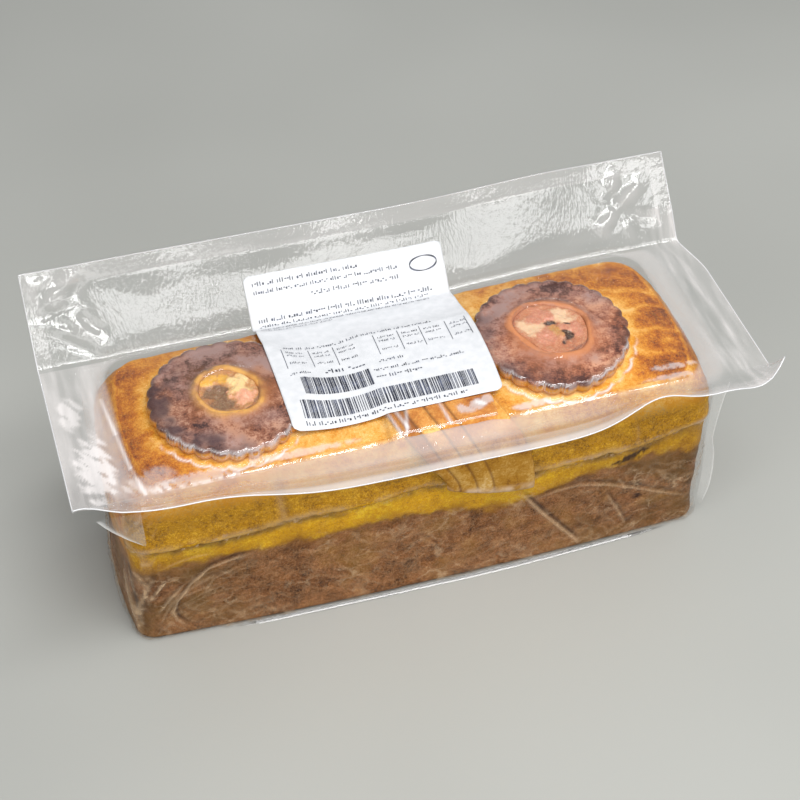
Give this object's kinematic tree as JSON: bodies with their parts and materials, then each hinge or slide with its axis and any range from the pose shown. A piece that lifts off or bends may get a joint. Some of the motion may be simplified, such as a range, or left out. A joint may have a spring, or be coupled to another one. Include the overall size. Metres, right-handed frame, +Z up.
{
  "type": "pate en croute",
  "caption": "Whole pastry loaf sealed in a shrunk clear bag with a wide welded flange; fluted pastry discs, a pastry band and a paper label lie on its lid.",
  "frame": {"origin": "middle of the flat base", "axes": "+X along the loaf, -Y towards the front with the low flange, +Z up"},
  "size_m": [0.3354, 0.1524, 0.1373],
  "materials": {
    "bagged_crust": "glossy film over baked crust",
    "dark_pastry": "satin, dark baked pastry",
    "filling": "moist",
    "pastry_band": "satin, baked pastry",
    "label_paper": "smooth coated paper"
  },
  "bodies": {
    "root": {"sealed_bag": "bagged_crust", "pastry_disc_left": "dark_pastry", "pastry_disc_right": "dark_pastry", "filling_left": "filling", "filling_right": "filling", "pastry_band": "pastry_band", "label": "label_paper"}
  },
  "joints": []
}
